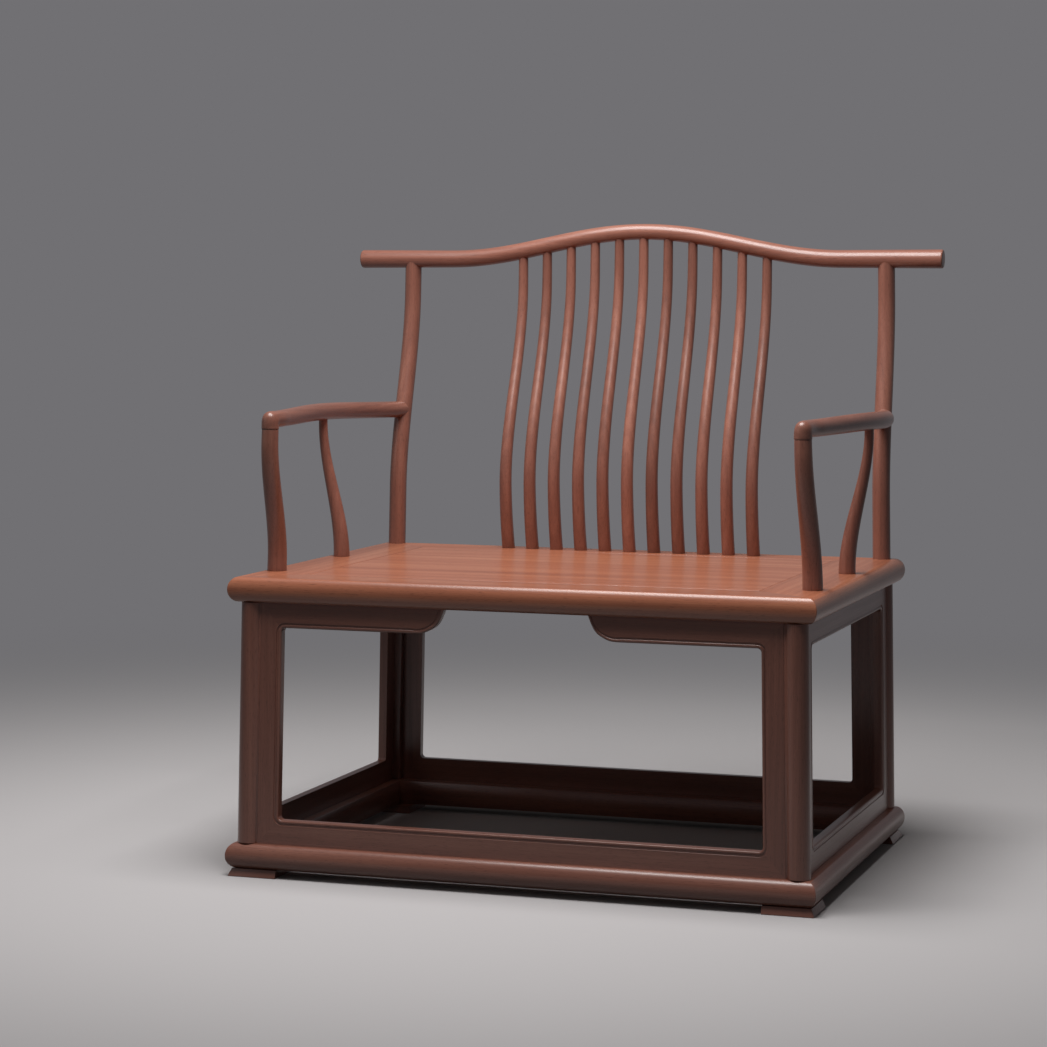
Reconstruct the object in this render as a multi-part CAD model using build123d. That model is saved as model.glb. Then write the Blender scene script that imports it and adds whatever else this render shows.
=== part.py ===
from build123d import *
import os
from math import cos, pi, sin

# Wide, low-backed official's hat chair in one hardwood, mortise-and-tenon throughout.
# Millimetres. +X is the sitter's left as seen from the front (the viewer's right), -Y is the
# front, +Z is up. The chair is drawn over the middle of its seat, and moved at the end so that the
# origin lies on the floor under the middle of its overall width and depth.

# ---------------------------------------------------------------- driving dimensions
# Every loose fit between two pieces: tenon in mortise, tongue in groove, coped shoulder.
fit = 0.15

# Seat frame and floating panel
seat_width = 854.0
seat_depth = 618.0
seat_height = 430.0
seat_thickness = 36.0
side_rail_width = 96.0
long_rail_width = 74.0
long_rail_nose = 11.0
panel_thickness = 14.0
panel_tongue_thickness = 6.0
panel_tongue_length = 8.0
panel_gap = 0.3
panel_arris = 0.8
rail_tenon_width = 16.0
rail_tenon_thickness = 10.0
rail_tenon_length = 42.0
rail_tenon_inset = 47.0

# Battens under the panel
batten_width = 30.0
batten_height = 18.0
batten_spacing = 230.0
batten_tenon_length = 14.0
batten_tenon_thickness = 10.0
batten_key_width = 16.0
batten_key_flare = 3.0
batten_key_height = 5.0

# Base frame and feet
base_projection = 4.0
base_rail_width = 50.0
base_rail_height = 37.0
base_nose = 14.0
base_tenon_width = 11.0
base_tenon_thickness = 12.0
base_tenon_length = 28.0
base_tenon_inset = 40.0
foot_height = 11.0
foot_length = 76.0
foot_edge_inset = 2.5
foot_flare = 5.0
foot_peg_radius = 6.0
foot_peg_height = 8.0

# Legs
leg_radius = 16.5
leg_inset_x = 28.5
leg_inset_y = 23.0
leg_splay_x = 7.0
leg_splay_y = 3.0
leg_tenon_size = 14.0
leg_tenon_foot = 22.0
leg_tenon_seat = 20.0

# Lining boards between the legs, each with a bead along its inner edge
lining_thickness = 14.0
lining_setback = 7.0
lining_strip_width = 31.0
lining_bottom_height = 35.0
lining_top_height = 35.5
lining_corner_radius = 6.0
lining_tongue_length = 5.0
lining_tongue_thickness = 4.0
lining_tongue_end = 12.0
bead_width = 5.5
bead_groove_width = 2.0
bead_groove_depth = 1.2

# Gap in the middle of the front apron, with the curled ends of its two halves
apron_gap_width = 209.0
apron_curl_length = 42.0

# Back: rear posts, crest rail and spindles
post_radius_seat = 13.6
post_radius_crest = 13.0
post_lean_x = 9.0
post_rake = 52.0
crest_height = 456.0
crest_rise = 42.5
crest_arch_half = 318.0
crest_overhang = 88.0
crest_radius_middle = 12.2
crest_radius_end = 14.4
crest_end_round = 2.5
spindle_count = 11
spindle_pitch = 39.8
spindle_foot_inset = 41.0
spindle_belly = 17.0
spindle_radius_foot = 10.2
spindle_radius_top = 7.4
spindle_tenon_radius = 4.5
spindle_tenon_length = 18.0

# Arms and their posts
arm_height = 221.0
arm_fall = 6.0
arm_crown = 3.0
arm_bow = 34.0
arm_radius = 12.9
arm_front_radius = 12.0
arm_cap_radius = 12.6
arm_cap_drop = 13.5
arm_tenon_radius = 5.0
arm_tenon_length = 16.0
front_post_inset = 110.0
front_post_edge = 30.3
front_post_reach = 39.0
front_post_lean_x = 7.0
front_post_radius = 14.2
side_post_edge = 34.0
side_post_y = 43.0
side_post_radius_foot = 12.8
side_post_radius_top = 6.6
side_post_tenon_radius = 4.0
post_tenon_radius = 7.0
post_tenon_length = 20.0

# ---------------------------------------------------------------- derived places
half_width = seat_width / 2
half_depth = seat_depth / 2
seat_under = seat_height - seat_thickness
seat_inner_x = half_width - side_rail_width
seat_inner_y = half_depth - long_rail_width
# The nose deepens with the rail, so both profiles meet along the mitre.
side_rail_nose = long_rail_nose * side_rail_width / long_rail_width
panel_tongue_z = seat_height - panel_thickness / 2

base_half_width = half_width + base_projection
base_half_depth = half_depth + base_projection
base_top = foot_height + base_rail_height

leg_x = base_half_width - leg_inset_x
leg_y = base_half_depth - leg_inset_y
leg_height = seat_under - base_top
lining_face = leg_radius - lining_setback
lining_middle = lining_face - lining_thickness / 2

crest_y = leg_y - leg_splay_y + post_rake
crest_end_z = seat_height + crest_height
spindle_y = half_depth - spindle_foot_inset
arm_z = seat_height + arm_height
front_post_x = half_width - front_post_edge
front_post_y = -half_depth + front_post_inset
front_post_top_y = front_post_y - front_post_reach
front_post_top_z = arm_z - arm_cap_drop
side_post_x = half_width - side_post_edge

parts = {}


# ---------------------------------------------------------------- shared shapes
def slab(low, high):
    """Everything between two heights."""
    return Pos(0, 0, (low + high) / 2) * Box(4 * seat_width, 4 * seat_width, high - low)


def block(x, y, z):
    """Box from three (low, high) pairs."""
    size = [high - low for low, high in (x, y, z)]
    middle = [(high + low) / 2 for low, high in (x, y, z)]
    return Pos(*middle) * Box(*size)


def peg(x, y, low, high, radius):
    """Upright round peg or hole."""
    return Pos(x, y, (low + high) / 2) * Cylinder(radius, high - low)


def left_of(piece):
    return mirror(piece, about=Plane.YZ)


def rear_of(piece):
    return mirror(piece, about=Plane.XZ)


def ease(t, start, end):
    """Smooth step from 0 at start to 1 at end."""
    u = min(max((t - start) / (end - start), 0), 1)
    return u * u * (3 - 2 * u)


def direction(position, t):
    """Direction of a centre line at t."""
    step = 0.001
    return Vector(*position(t + step)) - Vector(*position(t - step))


def bar(position, radius, side, count=14, low=0.0, high=1.0):
    """Round bar whose centre and radius are functions of t, from t = low to t = high."""
    sections = []
    for i in range(count + 1):
        t = low + (high - low) * i / count
        ahead = direction(position, t)
        plane = Plane(origin=position(t), x_dir=side.cross(ahead).cross(ahead), z_dir=ahead)
        sections.append(plane * Circle(radius(t)))
    return loft(sections)


def cope(position, radius, t):
    """Straight round cutter along a bar at t, which fits the end of another piece to it."""
    plane = Plane(origin=position(t), z_dir=direction(position, t))
    return plane * Cylinder(radius(t) + fit, 6 * radius(t))


def rail_section(outer, inner, nose, low, height):
    """Rail profile: flat top, bottom and inner face, rounded outer edge."""
    flat_outer = outer - nose
    flat = Pos((flat_outer + inner) / 2, low + height / 2) * Rectangle(flat_outer - inner, height)
    return flat + Pos(flat_outer, low + height / 2) * Ellipse(nose, height / 2)


def mitred_rail(outer, width, half_length, end_width, nose, low, height):
    """Rail along Y on the +X side, mitred at both ends to rails of the given width."""
    inner = outer - width
    reach = half_length - end_width
    plan = Polygon((outer, -half_length), (outer, half_length), (inner, reach), (inner, -reach),
                   align=None)
    prism = Pos(0, 0, low) * extrude(plan, height)
    run = extrude(Plane.XZ * rail_section(outer, inner, nose, low, height), half_length, both=True)
    return run & prism


# ---------------------------------------------------------------- legs
leg_axis = Vector(-leg_splay_x, leg_splay_y, leg_height)
front_plane_up = Vector(0, leg_splay_y, leg_height)
side_plane_up = Vector(-leg_splay_x, 0, leg_height)
front_inward = Vector(1, 0, 0).cross(front_plane_up) * -1
leg_plane = Plane(origin=(leg_x, -leg_y, base_top), x_dir=front_inward.cross(leg_axis), z_dir=leg_axis)


def leg_axis_at(z):
    """Centre of the right rear leg's straight part at height z."""
    share = (z - base_top) / leg_height
    return leg_x - leg_splay_x * share, leg_y - leg_splay_y * share, z


def leg_tenon(low, high, gap):
    """Square tenon on the leg's own axis, from low to high above the base frame."""
    size = leg_tenon_size + 2 * gap
    return leg_plane * Pos(0, 0, (low + high) / 2) * Box(size, size, high - low)


def leg_shaft():
    """Round outside and square on the inner corner, where the lining boards meet it flush."""
    square = leg_radius + lining_face
    inward = (leg_radius - lining_face) / 2
    section = Circle(leg_radius) + Pos(-inward, inward) * Rectangle(square, square)
    overrun = 2 * leg_radius
    shaft = extrude(leg_plane * Pos(0, 0, -overrun) * section, leg_height + 2 * overrun)
    return shaft & slab(base_top, seat_under)


foot_tenon = leg_tenon(-leg_tenon_foot, 1, 0)
foot_mortise = leg_tenon(-leg_tenon_foot - 1, 1, fit)
seat_tenon = leg_tenon(leg_height - 1, leg_height + leg_tenon_seat, 0)
seat_mortise = leg_tenon(leg_height - 1, leg_height + leg_tenon_seat + 1, fit)


# ---------------------------------------------------------------- rear posts
def post_position(t):
    """Right rear post; t is 0 at the seat and 1 at the crest rail. Below the seat it is the leg."""
    z = seat_height + crest_height * t
    x, y, _ = leg_axis_at(seat_height)
    if t <= 0:
        return leg_axis_at(z)
    return x - post_lean_x * t, y + (crest_y - y) * ease(t, 0.20, 0.88), z


def post_radius(t):
    return post_radius_seat + (post_radius_crest - post_radius_seat) * max(t, 0)


post_start_t = -seat_thickness / crest_height
post_blank = bar(post_position, post_radius, Vector(1, 0, 0), 18, 1.5 * post_start_t, 1.0)
post_hole = cope(post_position, post_radius, post_start_t / 2)


# ---------------------------------------------------------------- crest rail
post_top_x = post_position(1)[0]
crest_half_length = post_top_x + crest_overhang
crest_tenon_top = crest_radius_middle / 2
spindle_xs = [spindle_pitch * (i - (spindle_count - 1) / 2) for i in range(spindle_count)]


def crest_z(x):
    """Height of the crest rail's centre: level ends and a cosine arch between them."""
    reach = min(abs(x) / crest_arch_half, 1)
    return crest_end_z + crest_rise * (1 + cos(pi * reach)) / 2


def crest_position(t):
    x = crest_half_length * (2 * t - 1)
    return x, crest_y, crest_z(x)


def crest_radius_at(x):
    """Thinnest in the middle, and swelling toward the tips."""
    return crest_radius_middle + (crest_radius_end - crest_radius_middle) * abs(x) / crest_half_length


def crest_radius(t):
    return crest_radius_at(crest_half_length * (2 * t - 1))


def crest_cope(x, half_width):
    """Cutter that fits the top of a post or spindle to the crest rail's underside at x."""
    widest = crest_radius_at(abs(x) + half_width)
    return cope(crest_position, lambda t: widest, (x / crest_half_length + 1) / 2)


def crest_tenon(x, radius, gap):
    """Peg that rises from a post or spindle into the crest rail above x."""
    low = crest_z(x) - 2 * crest_radius_end
    return peg(x, crest_y, low, crest_z(x) + crest_tenon_top + 2 * gap, radius + gap)


arch_end_t = (1 + crest_arch_half / crest_half_length) / 2
crest_arch = bar(crest_position, crest_radius, Vector(0, 1, 0), 20, 1 - arch_end_t, arch_end_t)
level_end = Plane(origin=crest_position(arch_end_t), z_dir=(1, 0, 0)) * Cone(
    crest_radius(arch_end_t), crest_radius_end, crest_half_length - crest_arch_half,
    align=(Align.CENTER, Align.CENTER, Align.MIN))
level_end = fillet(level_end.faces().sort_by(Axis.X)[-1].edges(), crest_end_round)
level_end -= crest_tenon(post_top_x, post_tenon_radius, fit)
crest_arch -= [crest_tenon(x, spindle_tenon_radius, fit) for x in spindle_xs]
parts["crest_rail"] = crest_arch + level_end + left_of(level_end)


# ---------------------------------------------------------------- spindles
def spindle_position(x, t):
    """S-curve in side view: forward in the small of the back, then back to the crest rail."""
    rake = (crest_y - spindle_y) * ease(t, 0.20, 0.88)
    belly = spindle_belly * sin(pi * min(max(t, 0), 1) ** 0.55) ** 1.9
    return x, spindle_y + rake - belly, seat_height + (crest_z(x) - seat_height) * t


def spindle(x):
    def radius(t):
        return spindle_radius_foot + (spindle_radius_top - spindle_radius_foot) * t

    body = bar(lambda t: spindle_position(x, t), radius, Vector(0, 1, 0), 10, -0.02, 1.0)
    body = (body & slab(seat_height, 2 * crest_end_z)) - crest_cope(x, spindle_radius_top)
    foot = peg(x, spindle_y, seat_height - spindle_tenon_length, seat_height + 1, spindle_tenon_radius)
    return body + foot + crest_tenon(x, spindle_tenon_radius, 0)


for number, x in enumerate(spindle_xs, 1):
    parts[f"back_spindle_{number:02d}"] = spindle(x)

spindle_mortises = [
    peg(x, spindle_y, seat_height - spindle_tenon_length - 1, seat_height + 1, spindle_tenon_radius + fit)
    for x in spindle_xs
]


# ---------------------------------------------------------------- arms
arm_rear_t = (arm_z - arm_fall - seat_height) / crest_height
arm_rear = Vector(*post_position(arm_rear_t))
arm_front_x = front_post_x - front_post_lean_x
elbow = Vector(arm_front_x, front_post_top_y, arm_z)


def arm_position(u):
    """Centre of the right arm from its elbow (u = 0) to the rear post, bowed most toward the rear."""
    bow = Vector(arm_bow * sin(pi * max(u, 0) ** 1.35), 0, arm_crown * (1 - cos(2 * pi * u)) / 2)
    return elbow + (arm_rear - elbow) * u + bow


def arm_thickness(u):
    return arm_front_radius + (arm_radius - arm_front_radius) * ease(u, 0, 0.35)


def arm_rear_tenon(gap):
    """Round tenon from the arm's rear shoulder into the rear post."""
    heading = arm_rear - arm_position(0.97)
    start = arm_rear - heading.normalized() * (post_radius_seat + 2)
    plane = Plane(origin=start, z_dir=heading)
    length = arm_tenon_length + gap
    return plane * Pos(0, 0, length / 2) * Cylinder(arm_tenon_radius + gap, length)


# ---------------------------------------------------------------- arm posts
def front_post_position(t):
    """Right front arm post: leans forward and slightly inward from the seat to the arm."""
    z = seat_height + (front_post_top_z - seat_height) * t
    x = front_post_x - front_post_lean_x * t
    return x, front_post_y - front_post_reach * ease(t, 0.08, 0.92), z


def front_post_thickness(t):
    return front_post_radius + (arm_front_radius - front_post_radius) * t


side_post_u = (side_post_y - elbow.Y) / (arm_rear.Y - elbow.Y)
side_post_top = arm_position(side_post_u)


def side_post_position(t):
    """Right side arm post: sweeps outward to meet the arm's underside."""
    z = seat_height + (side_post_top.Z - seat_height) * t
    x = side_post_x + (side_post_top.X - side_post_x) * ease(t, 0.02, 0.92)
    return x, side_post_y, z


def side_post_thickness(t):
    return side_post_radius_foot + (side_post_radius_top - side_post_radius_foot) * ease(t, -0.2, 1.0)


front_post_tenon_top = front_post_top_z + arm_cap_drop / 2
front_post_tenon_low = seat_height - post_tenon_length


def front_post_tenons(gap):
    """Round tenons at the foot and at the head of the right front arm post."""
    foot = peg(front_post_x, front_post_y, front_post_tenon_low - gap, seat_height + 1,
               post_tenon_radius + gap)
    head = peg(arm_front_x, front_post_top_y, front_post_top_z - 1, front_post_tenon_top + gap,
               arm_tenon_radius + gap)
    return foot, head


def side_post_tenons(gap):
    """Round tenons at the foot and at the head of the right side arm post."""
    foot = peg(side_post_x, side_post_y, seat_height - post_tenon_length - gap, seat_height + 1,
               post_tenon_radius + gap)
    head = peg(side_post_top.X, side_post_y, side_post_top.Z - 2 * arm_radius, side_post_top.Z + gap,
               side_post_tenon_radius + gap)
    return foot, head


# The arm turns down at its front like the bowl of a pipe, with a round cap over the post's head.
arm = bar(arm_position, arm_thickness, Vector(1, 0, 0), 16) - cope(post_position, post_radius, arm_rear_t)
arm += Pos(*elbow) * Sphere(arm_cap_radius)
arm += peg(elbow.X, elbow.Y, front_post_top_z, arm_z, arm_cap_radius)
arm -= [front_post_tenons(fit)[1], side_post_tenons(fit)[1]]
arm += arm_rear_tenon(0)
parts["arm_right"] = arm
parts["arm_left"] = left_of(arm)

front_post = bar(front_post_position, front_post_thickness, Vector(1, 0, 0), 12, -0.03, 1.0)
front_post = front_post & slab(seat_height, front_post_top_z - fit)
front_post += list(front_post_tenons(0))
parts["arm_front_post_right"] = front_post
parts["arm_front_post_left"] = left_of(front_post)

side_post = bar(side_post_position, side_post_thickness, Vector(0, 1, 0), 12, -0.03, 1.0)
side_post = side_post & slab(seat_height, arm_z + 2 * arm_radius)
side_post -= cope(arm_position, arm_thickness, side_post_u)
side_post += list(side_post_tenons(0))
parts["arm_side_post_right"] = side_post
parts["arm_side_post_left"] = left_of(side_post)


# ---------------------------------------------------------------- lining frames
def lining_edge(half_span, splay, h):
    """Distance of the leg's flat from the frame's middle at height h above the base frame."""
    return half_span - leg_radius - splay * h / leg_height - fit


def front_gap():
    """Opening between the two halves of the front apron, with their curled ends."""
    top = leg_height + lining_thickness
    low = leg_height - lining_top_height
    half_gap = apron_gap_width / 2
    tip = half_gap + apron_curl_length
    shoulder = (half_gap + apron_curl_length * 0.14, low + lining_top_height * 0.60)
    knee = (half_gap + apron_curl_length * 0.33, low + lining_top_height * 0.29)
    toe = (half_gap + apron_curl_length * 0.62, low + lining_top_height * 0.09)
    right = [
        Line((half_gap, top), (half_gap, leg_height)),
        ThreePointArc((half_gap, leg_height), shoulder, knee),
        ThreePointArc(knee, toe, (tip, low)),
        Line((tip, low), (tip, low - lining_top_height)),
    ]
    left = [edge.mirror(Plane.YZ) for edge in right]
    bottom = Line((-tip, low - lining_top_height), (tip, low - lining_top_height))
    ceiling = Line((-half_gap, top), (half_gap, top))
    return make_face(right + left + [bottom, ceiling])


def lining_frame(plane, half_span, splay, split_apron):
    """Boards that line one opening between two legs, and the slots for their tongues."""

    def edge(h):
        return lining_edge(half_span, splay, h)

    def inner(h):
        return edge(h) - lining_strip_width

    low = lining_bottom_height
    high = leg_height - lining_top_height
    top = leg_height + 1
    opening = Polygon((-inner(low), low), (inner(low), low), (inner(high), high), (-inner(high), high),
                      align=None)
    opening = fillet(opening.vertices(), lining_corner_radius)
    if split_apron:
        opening += front_gap()
    bead_groove = offset(opening, bead_width + bead_groove_width) - offset(opening, bead_width)

    outlines = {
        "bottom": Polygon((-edge(0), 0), (edge(0), 0), (inner(low), low), (-inner(low), low), align=None),
        "top": Polygon((-edge(top), top), (-inner(high), high), (inner(high), high), (edge(top), top),
                       align=None),
        "strip": Polygon((edge(0), 0), (edge(top), top), (inner(high), high), (inner(low), low),
                         align=None),
    }
    end = lining_tongue_end
    tongue_starts = apron_gap_width / 2 + end if split_apron else 0

    def tongue_outlines(gap):
        """Tongues in the base frame, in the seat frame and in the right leg."""
        length = lining_tongue_length + gap
        across = edge(0) - end + gap
        over = edge(leg_height) - end + gap
        start = tongue_starts - gap
        upper = Rectangle(2 * over, 2 * length)
        if split_apron:
            upper -= Rectangle(2 * start, 4 * length)
        return {
            "bottom": Rectangle(2 * across, 2 * length),
            "top": Pos(0, leg_height) * upper,
            "strip": Polygon((edge(end) - length, end - gap), (edge(end) + length, end - gap),
                             (edge(high) + length, high + gap), (edge(high) - length, high + gap),
                             align=None),
        }

    def board(outline, tongue):
        body = extrude(Pos(0, 0, lining_face - lining_thickness) * (outline - opening), lining_thickness)
        body -= extrude(Pos(0, 0, lining_face - bead_groove_depth) * bead_groove, 2 * bead_groove_depth)
        body = plane * body & slab(base_top, seat_under)
        half = lining_tongue_thickness / 2
        return body + plane * extrude(Pos(0, 0, lining_middle - half) * tongue, 2 * half)

    tongues = tongue_outlines(0)
    boards = {name: board(outlines[name], tongues[name]) for name in outlines}
    half = lining_tongue_thickness / 2 + fit
    slots = [plane * extrude(Pos(0, 0, lining_middle - half) * outline, 2 * half)
             for outline in tongue_outlines(fit).values()]
    return boards, slots


front_plane = Plane(origin=(0, -leg_y, base_top), x_dir=(1, 0, 0), z_dir=Vector(1, 0, 0).cross(front_plane_up))
side_plane = Plane(origin=(leg_x, 0, base_top), x_dir=(0, 1, 0), z_dir=Vector(0, 1, 0).cross(side_plane_up))
front_boards, front_slots = lining_frame(front_plane, leg_x, leg_splay_x, True)
plain_boards, plain_slots = lining_frame(front_plane, leg_x, leg_splay_x, False)
side_boards, side_slots = lining_frame(side_plane, leg_y, leg_splay_y, False)

front_halves = front_boards["top"].solids().sort_by(Axis.X)
parts["front_apron_left"] = front_halves[0]
parts["front_apron_right"] = front_halves[-1]
parts["rear_apron"] = rear_of(plain_boards["top"])
parts["right_apron"] = side_boards["top"]
parts["left_apron"] = left_of(side_boards["top"])
parts["front_bottom_strip"] = front_boards["bottom"]
parts["rear_bottom_strip"] = rear_of(plain_boards["bottom"])
parts["right_bottom_strip"] = side_boards["bottom"]
parts["left_bottom_strip"] = left_of(side_boards["bottom"])
parts["front_right_strip"] = front_boards["strip"]
parts["front_left_strip"] = left_of(front_boards["strip"])
parts["rear_right_strip"] = rear_of(plain_boards["strip"])
parts["rear_left_strip"] = left_of(parts["rear_right_strip"])
parts["right_rear_strip"] = side_boards["strip"]
parts["right_front_strip"] = rear_of(side_boards["strip"])
parts["left_rear_strip"] = left_of(side_boards["strip"])
parts["left_front_strip"] = left_of(parts["right_front_strip"])

# The slots are built at one end of each opening and mirrored to the other.
side_slots += [rear_of(slot) for slot in side_slots]
rear_slots = [rear_of(slot) for slot in plain_slots]

# ---------------------------------------------------------------- legs
front_leg = leg_shaft() - front_slots - side_slots + foot_tenon + seat_tenon
parts["front_leg_right"] = front_leg
parts["front_leg_left"] = left_of(front_leg)

rear_leg = rear_of(leg_shaft() + foot_tenon) - rear_slots - side_slots
rear_post = (post_blank & slab(seat_under, 2 * crest_end_z)) - crest_cope(post_top_x, post_radius_crest)
rear_leg = rear_leg + rear_post + crest_tenon(post_top_x, post_tenon_radius, 0)
rear_leg -= arm_rear_tenon(fit)
parts["rear_leg_right"] = rear_leg
parts["rear_leg_left"] = left_of(rear_leg)

# ---------------------------------------------------------------- seat
panel_half_x = seat_inner_x - panel_gap
panel_half_y = seat_inner_y - panel_gap
tongue_half_x = seat_inner_x + panel_tongue_length
tongue_half_y = seat_inner_y + panel_tongue_length
batten_xs = (-batten_spacing / 2, batten_spacing / 2)
batten_top = seat_height - panel_thickness


def batten_key(x, gap):
    """Dovetail key along the batten, in the panel's underside."""
    half = batten_key_width / 2 + gap
    flared = half + batten_key_flare
    rise = batten_key_height + gap
    profile = Polygon((x - half, batten_top - 1), (x + half, batten_top - 1),
                      (x + flared, batten_top + rise), (x - flared, batten_top + rise), align=None)
    return extrude(Plane.XZ * profile, panel_half_y + gap, both=True)


def batten_tenon(x, gap):
    """Tenons of one batten in the front and rear rails."""
    half = batten_width / 2 - 3 + gap
    reach = seat_inner_y + batten_tenon_length + gap
    middle = batten_top - batten_height / 2
    thick = batten_tenon_thickness / 2 + gap
    return block((x - half, x + half), (-reach, reach), (middle - thick, middle + thick))


panel = block((-panel_half_x, panel_half_x), (-panel_half_y, panel_half_y), (batten_top, seat_height))
panel = chamfer(panel.faces().sort_by(Axis.Z)[-1].edges(), panel_arris)
panel += block((-tongue_half_x + panel_gap, tongue_half_x - panel_gap),
               (-tongue_half_y + panel_gap, tongue_half_y - panel_gap),
               (panel_tongue_z - panel_tongue_thickness / 2, panel_tongue_z + panel_tongue_thickness / 2))
panel -= [batten_key(x, fit) for x in batten_xs]
parts["seat_panel"] = panel

for name, x in zip(("left", "right"), batten_xs):
    body = block((x - batten_width / 2, x + batten_width / 2), (-seat_inner_y + fit, seat_inner_y - fit),
                 (batten_top - batten_height, batten_top))
    key_limit = block((x - batten_width, x + batten_width), (-panel_half_y, panel_half_y),
                      (batten_top - 1, seat_height))
    parts[f"seat_batten_{name}"] = body + (batten_key(x, 0) & key_limit) + batten_tenon(x, 0)

panel_groove = block((-tongue_half_x, tongue_half_x), (-tongue_half_y, tongue_half_y),
                     (panel_tongue_z - panel_tongue_thickness / 2 - fit,
                      panel_tongue_z + panel_tongue_thickness / 2 + fit))
right_cutters = [seat_mortise, post_hole, front_post_tenons(fit)[0], side_post_tenons(fit)[0]]
side_frame_cutters = right_cutters + side_slots
long_cutters = right_cutters + [left_of(cutter) for cutter in right_cutters]
long_cutters += [batten_tenon(x, fit) for x in batten_xs]


def rail_tenon(gap, outer_y, inset, width, low, thickness, x_range):
    """Tenon of a long rail's mitred end, and its mortise when gap is given."""
    y = outer_y - inset
    return block((x_range[0], x_range[1] + gap), (y - width / 2 - gap, y + width / 2 + gap),
                 (low - gap, low + thickness + gap))


def seat_rail_tenon(gap):
    """Tenon of the rear rail into the right rail."""
    reach = seat_inner_x + 10, seat_inner_x + 10 + rail_tenon_length
    low = seat_under + (seat_thickness - panel_thickness - rail_tenon_thickness) / 2
    return rail_tenon(gap, half_depth, rail_tenon_inset, rail_tenon_width, low, rail_tenon_thickness, reach)


def long_rail(outer, width, half_length, end_width, nose, low, height, tenon):
    """Rear rail along X with a tenon in each mitre."""
    rail = mitred_rail(outer, width, half_length, end_width, nose, low, height)
    rail = Rot(0, 0, 90) * rail
    return rail + tenon + left_of(tenon)


seat_end_rail = mitred_rail(half_width, side_rail_width, half_depth, long_rail_width, side_rail_nose,
                            seat_under, seat_thickness)
seat_long_rail = long_rail(half_depth, long_rail_width, half_width, side_rail_width, long_rail_nose,
                           seat_under, seat_thickness, seat_rail_tenon(0))
side_cutters = [panel_groove, seat_rail_tenon(fit), rear_of(seat_rail_tenon(fit))]
parts["seat_rail_right"] = seat_end_rail - side_cutters - side_frame_cutters
parts["seat_rail_left"] = left_of(parts["seat_rail_right"])
parts["seat_rail_rear"] = seat_long_rail - panel_groove - long_cutters - rear_slots - spindle_mortises
parts["seat_rail_front"] = rear_of(seat_long_rail) - panel_groove - long_cutters - front_slots


# ---------------------------------------------------------------- base frame
def base_rail_tenon(gap):
    """Tenon of the rear base rail into the right base rail."""
    start = base_half_width - base_tenon_inset
    low = foot_height + (base_rail_height - base_tenon_thickness) / 2
    return rail_tenon(gap, base_half_depth, base_tenon_inset, base_tenon_width, low, base_tenon_thickness,
                      (start, start + base_tenon_length))


def foot_peg(gap):
    """Peg of the right rear foot."""
    x = base_half_width - foot_length / 2
    y = base_half_depth - foot_length / 2
    return peg(x, y, foot_height - 1, foot_height + foot_peg_height + gap, foot_peg_radius + gap)


def foot():
    """Right rear foot: a low pad that flares toward the floor on its two outer sides."""
    inner_x = base_half_width - foot_length
    inner_y = base_half_depth - foot_length

    def outline(inset):
        x = base_half_width - inset
        y = base_half_depth - inset
        return Polygon((inner_x, inner_y), (x, inner_y), (x, y), (inner_x, y), align=None)

    pad = loft([outline(foot_edge_inset), Pos(0, 0, foot_height) * outline(foot_edge_inset + foot_flare)])
    return pad + foot_peg(0)


base_end_rail = mitred_rail(base_half_width, base_rail_width, base_half_depth, base_rail_width, base_nose,
                            foot_height, base_rail_height)
base_long_rail = long_rail(base_half_depth, base_rail_width, base_half_width, base_rail_width, base_nose,
                           foot_height, base_rail_height, base_rail_tenon(0))
right_base_cutters = [foot_mortise, rear_of(foot_mortise), foot_peg(fit), rear_of(foot_peg(fit))]
base_cutters = right_base_cutters + [left_of(cutter) for cutter in right_base_cutters]
end_cutters = [base_rail_tenon(fit), rear_of(base_rail_tenon(fit))]
parts["base_rail_right"] = base_end_rail - end_cutters - right_base_cutters - side_slots
parts["base_rail_left"] = left_of(parts["base_rail_right"])
parts["base_rail_rear"] = base_long_rail - base_cutters - rear_slots
parts["base_rail_front"] = rear_of(base_long_rail) - base_cutters - front_slots

parts["foot_rear_right"] = foot()
parts["foot_rear_left"] = left_of(foot())
parts["foot_front_right"] = rear_of(foot())
parts["foot_front_left"] = rear_of(left_of(foot()))

# ---------------------------------------------------------------- files
overall_middle_y = (crest_y + crest_radius_end - base_half_depth) / 2
os.makedirs("parts", exist_ok=True)
for name, piece in parts.items():
    export_step(Pos(0, -overall_middle_y, 0) * piece, f"parts/{name}.step")
print(len(parts), "pieces")
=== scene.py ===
import itertools
from math import cos, pi, radians, sin

import bpy
import numpy as np
from mathutils import Matrix, Vector


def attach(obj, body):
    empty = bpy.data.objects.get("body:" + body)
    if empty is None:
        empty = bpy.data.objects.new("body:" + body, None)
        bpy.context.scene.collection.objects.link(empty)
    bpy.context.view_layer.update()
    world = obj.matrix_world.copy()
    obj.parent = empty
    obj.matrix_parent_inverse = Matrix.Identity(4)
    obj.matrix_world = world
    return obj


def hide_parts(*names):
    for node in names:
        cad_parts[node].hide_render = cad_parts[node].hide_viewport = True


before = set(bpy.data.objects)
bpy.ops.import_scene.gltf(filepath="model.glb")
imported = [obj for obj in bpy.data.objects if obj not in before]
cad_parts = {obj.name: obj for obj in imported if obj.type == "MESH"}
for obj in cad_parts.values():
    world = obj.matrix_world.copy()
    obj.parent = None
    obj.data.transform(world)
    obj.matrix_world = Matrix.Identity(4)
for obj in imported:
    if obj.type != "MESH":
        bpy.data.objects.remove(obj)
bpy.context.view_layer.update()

print("frame loaded:", len(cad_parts), "nodes")

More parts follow.
